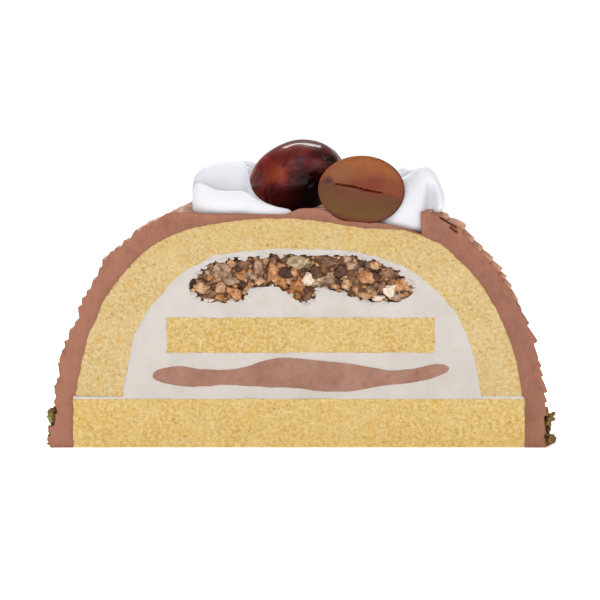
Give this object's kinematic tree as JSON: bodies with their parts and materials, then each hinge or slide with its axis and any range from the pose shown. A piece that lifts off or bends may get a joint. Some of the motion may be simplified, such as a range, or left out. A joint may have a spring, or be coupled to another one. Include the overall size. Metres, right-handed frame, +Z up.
{
  "type": "half-round roll cake",
  "caption": "Half-round log of roll cake cut square at both ends, a sponge arch filled with cream and nuts, under a ridged chestnut cream coat with ruffles and candied chestnuts on top.",
  "frame": {"origin": "middle of the flat underside", "axes": "+Z up, Y along the cake with the cut end that faces the viewer at -Y, +X to the viewer's right"},
  "size_m": [0.1219, 0.15, 0.0735],
  "materials": {
    "sponge": "pale yellow sponge with an open crumb",
    "cream": "smooth off-white cream filling",
    "chestnut_cream": "pinkish brown chestnut cream, matt and finely grained",
    "chopped_chestnut": "chopped candied chestnuts in mixed browns",
    "whipped_cream": "smooth white whipped cream with a soft sheen",
    "chestnut": "glossy dark red-brown inner skin, veined",
    "chestnut_flesh": "moist cut flesh, amber to olive brown, inside a dark rim"
  },
  "bodies": {
    "root": {"base_sponge": "sponge", "chestnut_1": "chestnut", "chestnut_2": "chestnut", "chestnut_3": "chestnut", "chestnut_4": "chestnut", "chestnut_5": "chestnut", "chestnut_6": "chestnut", "chestnut_7": "chestnut", "chestnut_cream_band": "chestnut_cream", "chestnut_half": "chestnut_flesh", "chopped_chestnut": "chopped_chestnut", "cream_ruffle_left_1": "whipped_cream", "cream_ruffle_left_2": "whipped_cream", "cream_ruffle_left_3": "whipped_cream", "cream_ruffle_left_4": "whipped_cream", "cream_ruffle_left_5": "whipped_cream", "cream_ruffle_left_6": "whipped_cream", "cream_ruffle_right_1": "whipped_cream", "cream_ruffle_right_2": "whipped_cream", "cream_ruffle_right_3": "whipped_cream", "cream_ruffle_right_4": "whipped_cream", "cream_ruffle_right_5": "whipped_cream", "cream_ruffle_right_6": "whipped_cream", "filling_cream": "cream", "outer_cream": "chestnut_cream", "sponge_arch": "sponge", "sponge_strip": "sponge"}
  },
  "joints": []
}
